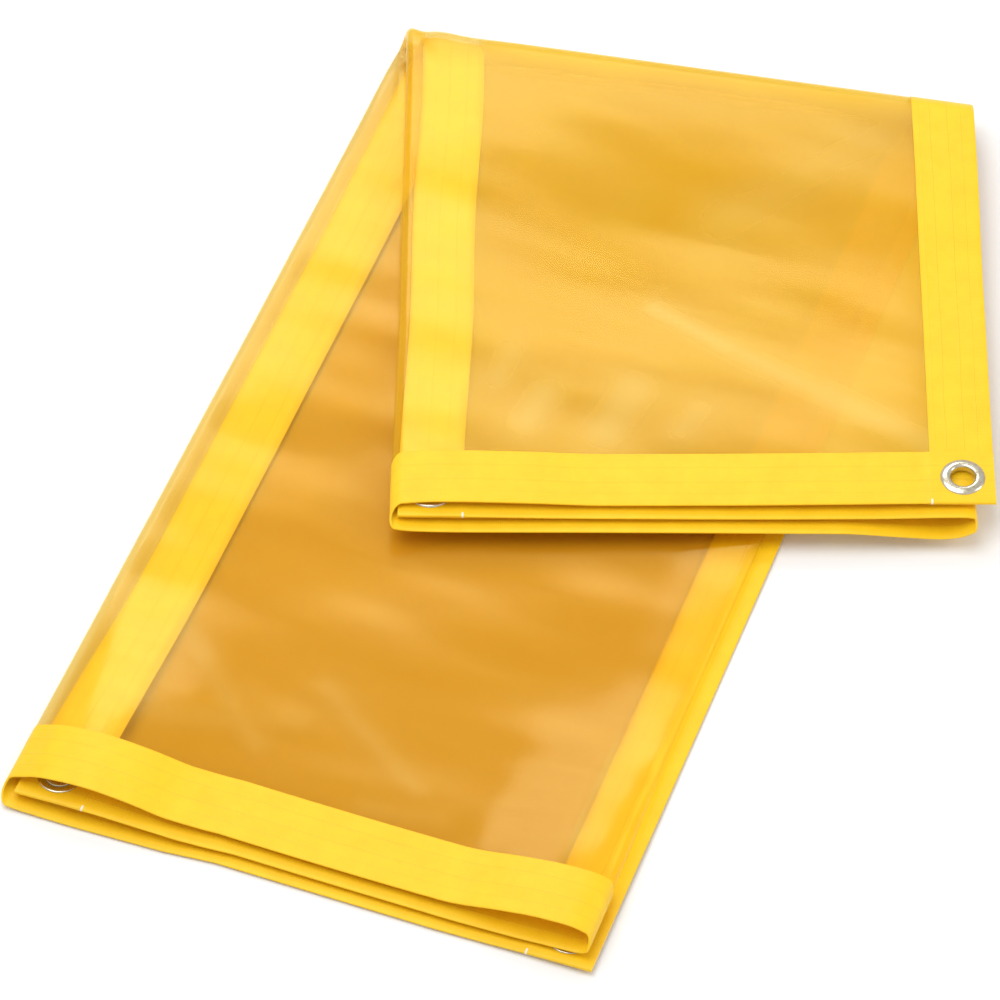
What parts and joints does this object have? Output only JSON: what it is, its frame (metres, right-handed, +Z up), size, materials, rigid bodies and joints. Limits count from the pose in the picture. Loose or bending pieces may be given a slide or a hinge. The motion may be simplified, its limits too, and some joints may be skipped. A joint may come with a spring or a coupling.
{
  "type": "welding curtain",
  "caption": "Welding curtain of clear amber film with taped hems and corner grommets, folded in thirds lengthwise and then once across on a slanted line.",
  "frame": {"origin": "centre of the folded sheet's box, on the surface that it lies on", "axes": "+Y along the lower leg from its open end towards the crosswise fold, +Z up, +X towards the side on which the upper leg sticks out"},
  "size_m": [0.4538, 0.6478, 0.028],
  "materials": {
    "amber_film": "clear amber, glossy",
    "yellow_tape": "coated woven fabric, satin",
    "nickel": "plated, bright"
  },
  "bodies": {
    "lower_leg": {"film_lower": "amber_film", "end_hem_lower": "yellow_tape", "side_hem_outer_lower": "yellow_tape", "side_hem_tucked_lower": "yellow_tape", "eyelet_outer_lower": "nickel", "washer_outer_lower": "nickel", "eyelet_tucked_lower": "nickel", "washer_tucked_lower": "nickel"},
    "upper_leg": {"film_upper": "amber_film", "end_hem_upper": "yellow_tape", "side_hem_outer_upper": "yellow_tape", "side_hem_tucked_upper": "yellow_tape", "eyelet_outer_upper": "nickel", "washer_outer_upper": "nickel", "eyelet_tucked_upper": "nickel", "washer_tucked_upper": "nickel"}
  },
  "joints": [
    {"name": "crosswise_fold", "type": "hinge", "parent": "lower_leg", "child": "upper_leg", "pos_m": [-0.22848, 0.26161, 0.014], "axis": [-0.9839, -0.1788, 0], "range_deg": [0, 180]}
  ]
}
